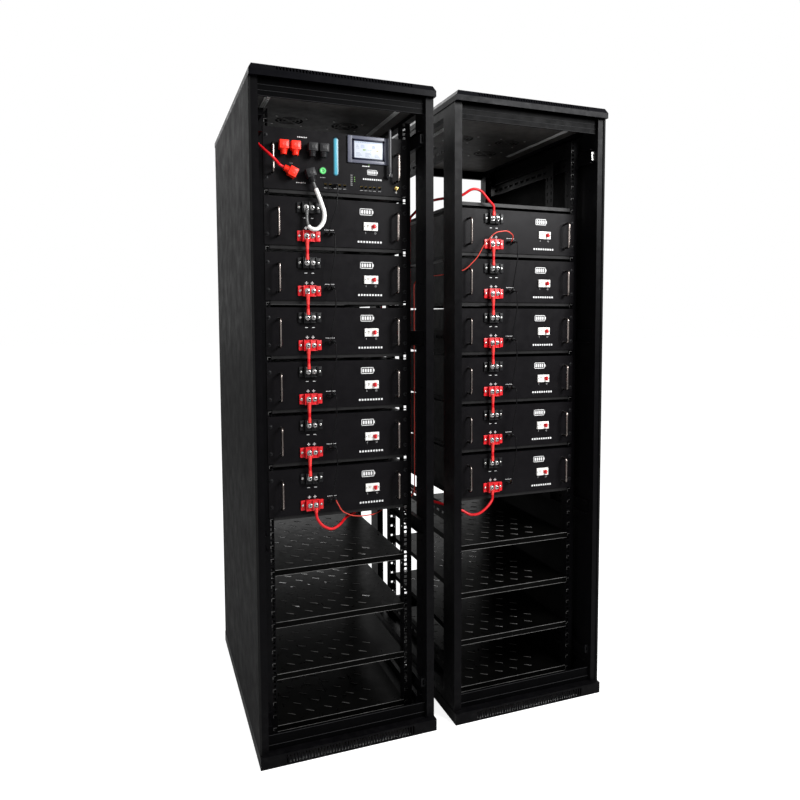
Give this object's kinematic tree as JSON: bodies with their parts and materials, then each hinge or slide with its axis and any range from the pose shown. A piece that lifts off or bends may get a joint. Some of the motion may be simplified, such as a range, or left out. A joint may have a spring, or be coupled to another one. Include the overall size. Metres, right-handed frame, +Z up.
{
  "type": "server rack battery",
  "caption": "Pair of open rack cabinets with stacked battery modules wired in series, a control box with display and antenna, spare shelves and slotted bases.",
  "frame": {"origin": "on the floor, at the middle of the pair of cabinets' box", "axes": "+Z up, the fronts of the cabinets face -Y, +X to the right as seen from the front"},
  "size_m": [1.273, 1.03, 2.187],
  "materials": {
    "frame_black": "fine powder coat",
    "panel_black": "fine powder coat",
    "sheet_grey": "satin powder coat",
    "zinc": "zinc plate",
    "case_black": "satin powder coat",
    "face_grey": "fine textured paint",
    "polished": "polished",
    "plastic_black": "moulded",
    "plastic_red": "moulded",
    "nickel": "nickel plate",
    "plastic_white": "moulded",
    "port_metal": "stamped shell",
    "cell_shell": "blue film on aluminium",
    "copper": "plated copper",
    "board_green": "solder mask",
    "plastic_grey": "moulded",
    "screen": "lit display",
    "strip_cyan": "lit diffuser",
    "button_green": "lit button",
    "brass": "turned",
    "toggle_red": "moulded",
    "lead_red": "lead sheath",
    "lead_black": "lead sheath"
  },
  "bodies": {
    "cabinets": {"left_base": "frame_black", "right_base": "frame_black", "left_roof": "frame_black", "right_roof": "frame_black", "ceiling_panels": "sheet_grey", "front_frames": "frame_black", "rear_frames": "frame_black", "left_side_panel": "panel_black", "right_side_panel": "panel_black", "rack_rails": "frame_black", "side_braces": "frame_black", "cable_strip": "frame_black", "battery_shelves": "sheet_grey", "spare_shelves": "sheet_grey", "door_strikes": "zinc", "battery_cases": "case_black", "battery_panels": "face_grey", "rack_ears": "face_grey", "rack_screws": "zinc", "handles": "polished", "negative_terminals": "plastic_black", "positive_terminals": "plastic_red", "terminal_bolts": "nickel", "breaker_bodies": "plastic_white", "battery_ports": "port_metal", "battery_cells": "cell_shell", "busbar_frames": "copper", "bms_boards": "board_green", "control_case": "case_black", "control_panel": "face_grey", "control_internals": "plastic_black", "display_bezel": "plastic_grey", "display_screen": "screen", "light_strip": "strip_cyan", "button_housing": "nickel", "connector_sockets": "plastic_black", "module_plugs": "plastic_red", "control_ports": "port_metal", "earth_stud": "brass", "power_leads": "lead_red", "comm_leads": "lead_black"},
    "breaker_toggle_1": {"breaker_toggle_1": "toggle_red"},
    "breaker_toggle_2": {"breaker_toggle_2": "toggle_red"},
    "breaker_toggle_3": {"breaker_toggle_3": "toggle_red"},
    "breaker_toggle_4": {"breaker_toggle_4": "toggle_red"},
    "breaker_toggle_5": {"breaker_toggle_5": "toggle_red"},
    "breaker_toggle_6": {"breaker_toggle_6": "toggle_red"},
    "breaker_toggle_7": {"breaker_toggle_7": "toggle_red"},
    "breaker_toggle_8": {"breaker_toggle_8": "toggle_red"},
    "breaker_toggle_9": {"breaker_toggle_9": "toggle_red"},
    "breaker_toggle_10": {"breaker_toggle_10": "toggle_red"},
    "breaker_toggle_11": {"breaker_toggle_11": "toggle_red"},
    "breaker_toggle_12": {"breaker_toggle_12": "toggle_red"},
    "push_button": {"push_button": "button_green"},
    "red_connector_1": {"red_connector_1": "plastic_red"},
    "red_connector_2": {"red_connector_2": "plastic_red"},
    "black_connector_1": {"black_connector_1": "plastic_black"},
    "black_connector_2": {"black_connector_2": "plastic_black"},
    "antenna_base": {"antenna_base": "plastic_black"},
    "antenna_mast": {"antenna_mast": "plastic_black"}
  },
  "joints": [
    {"name": "toggle_1", "type": "hinge", "parent": "cabinets", "child": "breaker_toggle_1", "pos_m": [-0.2255, -0.382, 1.7365], "axis": [0, 0, 1], "range_deg": [-50, 0]},
    {"name": "toggle_2", "type": "hinge", "parent": "cabinets", "child": "breaker_toggle_2", "pos_m": [-0.2255, -0.382, 1.5587], "axis": [0, 0, 1], "range_deg": [-50, 0]},
    {"name": "toggle_3", "type": "hinge", "parent": "cabinets", "child": "breaker_toggle_3", "pos_m": [-0.2255, -0.382, 1.3809], "axis": [0, 0, 1], "range_deg": [-50, 0]},
    {"name": "toggle_4", "type": "hinge", "parent": "cabinets", "child": "breaker_toggle_4", "pos_m": [-0.2255, -0.382, 1.2031], "axis": [0, 0, 1], "range_deg": [-50, 0]},
    {"name": "toggle_5", "type": "hinge", "parent": "cabinets", "child": "breaker_toggle_5", "pos_m": [-0.2255, -0.382, 1.0253], "axis": [0, 0, 1], "range_deg": [-50, 0]},
    {"name": "toggle_6", "type": "hinge", "parent": "cabinets", "child": "breaker_toggle_6", "pos_m": [-0.2255, -0.382, 0.8475], "axis": [0, 0, 1], "range_deg": [-50, 0]},
    {"name": "toggle_7", "type": "hinge", "parent": "cabinets", "child": "breaker_toggle_7", "pos_m": [0.4475, -0.382, 1.7365], "axis": [0, 0, 1], "range_deg": [-50, 0]},
    {"name": "toggle_8", "type": "hinge", "parent": "cabinets", "child": "breaker_toggle_8", "pos_m": [0.4475, -0.382, 1.5587], "axis": [0, 0, 1], "range_deg": [-50, 0]},
    {"name": "toggle_9", "type": "hinge", "parent": "cabinets", "child": "breaker_toggle_9", "pos_m": [0.4475, -0.382, 1.3809], "axis": [0, 0, 1], "range_deg": [-50, 0]},
    {"name": "toggle_10", "type": "hinge", "parent": "cabinets", "child": "breaker_toggle_10", "pos_m": [0.4475, -0.382, 1.2031], "axis": [0, 0, 1], "range_deg": [-50, 0]},
    {"name": "toggle_11", "type": "hinge", "parent": "cabinets", "child": "breaker_toggle_11", "pos_m": [0.4475, -0.382, 1.0253], "axis": [0, 0, 1], "range_deg": [-50, 0]},
    {"name": "toggle_12", "type": "hinge", "parent": "cabinets", "child": "breaker_toggle_12", "pos_m": [0.4475, -0.382, 0.8475], "axis": [0, 0, 1], "range_deg": [-50, 0]},
    {"name": "button_press", "type": "slide", "parent": "cabinets", "child": "push_button", "axis": [0, 1, 0], "range_m": [0, 0.003], "stiffness_N_per_m": 300, "springref_m": -0.001},
    {"name": "red_swivel_1", "type": "hinge", "parent": "cabinets", "child": "red_connector_1", "pos_m": [-0.5165, -0.41, 1.9768], "axis": [0, 1, 0], "range_deg": [-25, 25]},
    {"name": "red_swivel_2", "type": "hinge", "parent": "cabinets", "child": "red_connector_2", "pos_m": [-0.479, -0.41, 1.9768], "axis": [0, 1, 0], "range_deg": [-25, 25]},
    {"name": "black_swivel_1", "type": "hinge", "parent": "cabinets", "child": "black_connector_1", "pos_m": [-0.424, -0.41, 1.9768], "axis": [0, 1, 0], "range_deg": [-25, 25]},
    {"name": "black_swivel_2", "type": "hinge", "parent": "cabinets", "child": "black_connector_2", "pos_m": [-0.3875, -0.41, 1.9768], "axis": [0, 1, 0], "range_deg": [-25, 25]},
    {"name": "antenna_swivel", "type": "hinge", "parent": "cabinets", "child": "antenna_base", "pos_m": [-0.161, -0.395, 1.9068], "axis": [0, 1, 0], "range_deg": [-90, 8]},
    {"name": "antenna_tilt", "type": "hinge", "parent": "antenna_base", "child": "antenna_mast", "pos_m": [-0.161, -0.408, 1.9068], "axis": [1, 0, 0], "range_deg": [0, 90]}
  ]
}
